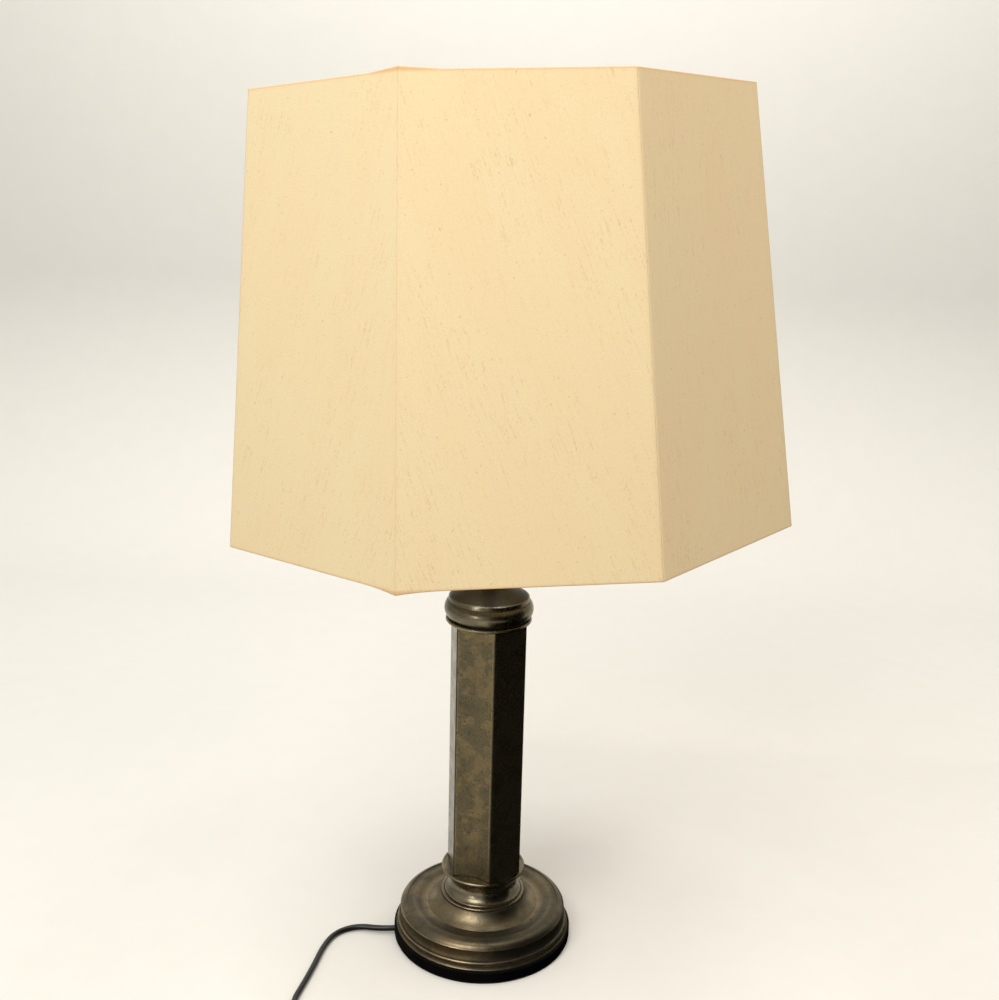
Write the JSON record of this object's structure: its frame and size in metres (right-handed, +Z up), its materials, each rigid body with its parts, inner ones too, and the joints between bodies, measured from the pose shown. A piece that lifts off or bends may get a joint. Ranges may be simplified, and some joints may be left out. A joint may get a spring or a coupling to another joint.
{
  "type": "table lamp",
  "caption": "Table lamp with a leaning octagonal fabric shade on a harp, a hexagonal patinated brass column and a stepped round base with a trailing black flex.",
  "frame": {"origin": "centre of the felt's underside, where the lamp stands", "axes": "+Z up along the column, front towards -Y, flex leaves on the left towards -X"},
  "size_m": [0.4499, 0.4598, 0.7374],
  "materials": {
    "patinated_brass": "dark mottled patina, half polished",
    "brass": "aged satin",
    "steel": "zinc plated",
    "white_wire": "cream enamel",
    "shade_fabric": "cream slub weave",
    "flex_sheath": "black gloss",
    "black_plastic": "black satin",
    "black_ring": "matte black",
    "felt": "black felt",
    "cast_iron": "raw casting",
    "porcelain": "white glaze",
    "bulb_glass": "clear",
    "bulb_cap": "bright",
    "pin_metal": "nickel plated"
  },
  "bodies": {
    "lamp": {"felt_pad": "felt", "plinth_ring": "black_ring", "flex_bushing": "black_plastic", "cast_weight": "cast_iron", "base_shell": "patinated_brass", "rod_washer": "steel", "rod_nut": "steel", "tie_rod": "steel", "collar_ring": "patinated_brass", "neck_cup": "patinated_brass", "hex_column": "patinated_brass", "column_locators": "steel", "top_ring": "patinated_brass", "column_cap": "patinated_brass", "neck_nut": "brass", "neck_sleeve": "brass", "harp_saddle": "brass", "harp_leg_left": "brass", "harp_leg_right": "brass", "harp_crown": "brass", "holder_cap": "brass", "holder_shell": "brass", "holder_core": "porcelain", "screw_shell": "brass", "centre_contact": "brass", "terminal_screws": "brass", "inner_flex": "flex_sheath", "flex_run_1": "flex_sheath", "flex_run_2": "flex_sheath", "flex_run_3": "flex_sheath", "flex_coil": "flex_sheath", "coil_tie": "black_plastic", "switch_base": "black_plastic", "switch_cover": "black_plastic", "switch_screws": "steel", "plug_body": "black_plastic", "plug_pins": "pin_metal"},
    "swivel": {"swivel_stud": "brass"},
    "shade": {"shade_panel_1": "shade_fabric", "shade_panel_2": "shade_fabric", "shade_panel_3": "shade_fabric", "shade_panel_4": "shade_fabric", "shade_panel_5": "shade_fabric", "shade_panel_6": "shade_fabric", "shade_panel_7": "shade_fabric", "shade_panel_8": "shade_fabric", "shade_top_wire": "white_wire", "shade_bottom_wire": "white_wire", "corner_struts": "white_wire", "spider_hub": "white_wire", "spider_arms": "white_wire"},
    "finial_bush": {"finial_bush": "brass"},
    "finial_knob": {"finial_knob": "brass"},
    "bulb_contact": {"bulb_contact": "brass"},
    "bulb": {"bulb_cap": "bulb_cap", "bulb_glass": "bulb_glass"},
    "rocker": {"switch_rocker": "black_plastic"},
    "ferrule_left": {"ferrule_left": "brass"},
    "ferrule_right": {"ferrule_right": "brass"}
  },
  "joints": [
    {"name": "shade_turn", "type": "hinge", "parent": "lamp", "child": "swivel", "pos_m": [0, 0, 0.69097], "axis": [0, 0, 1], "continuous": true},
    {"name": "shade_lean", "type": "hinge", "parent": "swivel", "child": "shade", "pos_m": [0, 0, 0.69097], "axis": [0, 1, 0], "range_deg": [-0.5, 5.5]},
    {"name": "finial_lift", "type": "slide", "parent": "swivel", "child": "finial_bush", "axis": [0, 0, 1], "range_m": [0, 0.006]},
    {"name": "finial_turn", "type": "hinge", "parent": "finial_bush", "child": "finial_knob", "pos_m": [0, 0, 0.7005], "axis": [0, 0, 1], "range_deg": [0, 2175]},
    {"name": "bulb_lift", "type": "slide", "parent": "lamp", "child": "bulb_contact", "axis": [0, 0, 1], "range_m": [0, 0.0182]},
    {"name": "bulb_turn", "type": "hinge", "parent": "bulb_contact", "child": "bulb", "pos_m": [0, 0, 0.45], "axis": [0, 0, 1], "range_deg": [0, 1800]},
    {"name": "rocker_tip", "type": "hinge", "parent": "lamp", "child": "rocker", "pos_m": [-0.069, -0.148, 0.0126], "axis": [0, 1, 0], "range_deg": [0, 16]},
    {"name": "ferrule_left_slide", "type": "slide", "parent": "lamp", "child": "ferrule_left", "axis": [0, 0, 1], "range_m": [0, 0.014]},
    {"name": "ferrule_right_slide", "type": "slide", "parent": "lamp", "child": "ferrule_right", "axis": [0, 0, 1], "range_m": [0, 0.014]}
  ],
  "couplings": [
    {"joint": "finial_turn", "follows": "finial_lift", "rad_per_m": 6283.2},
    {"joint": "bulb_lift", "follows": "bulb_turn", "m_per_rad": 0.00057757}
  ]
}
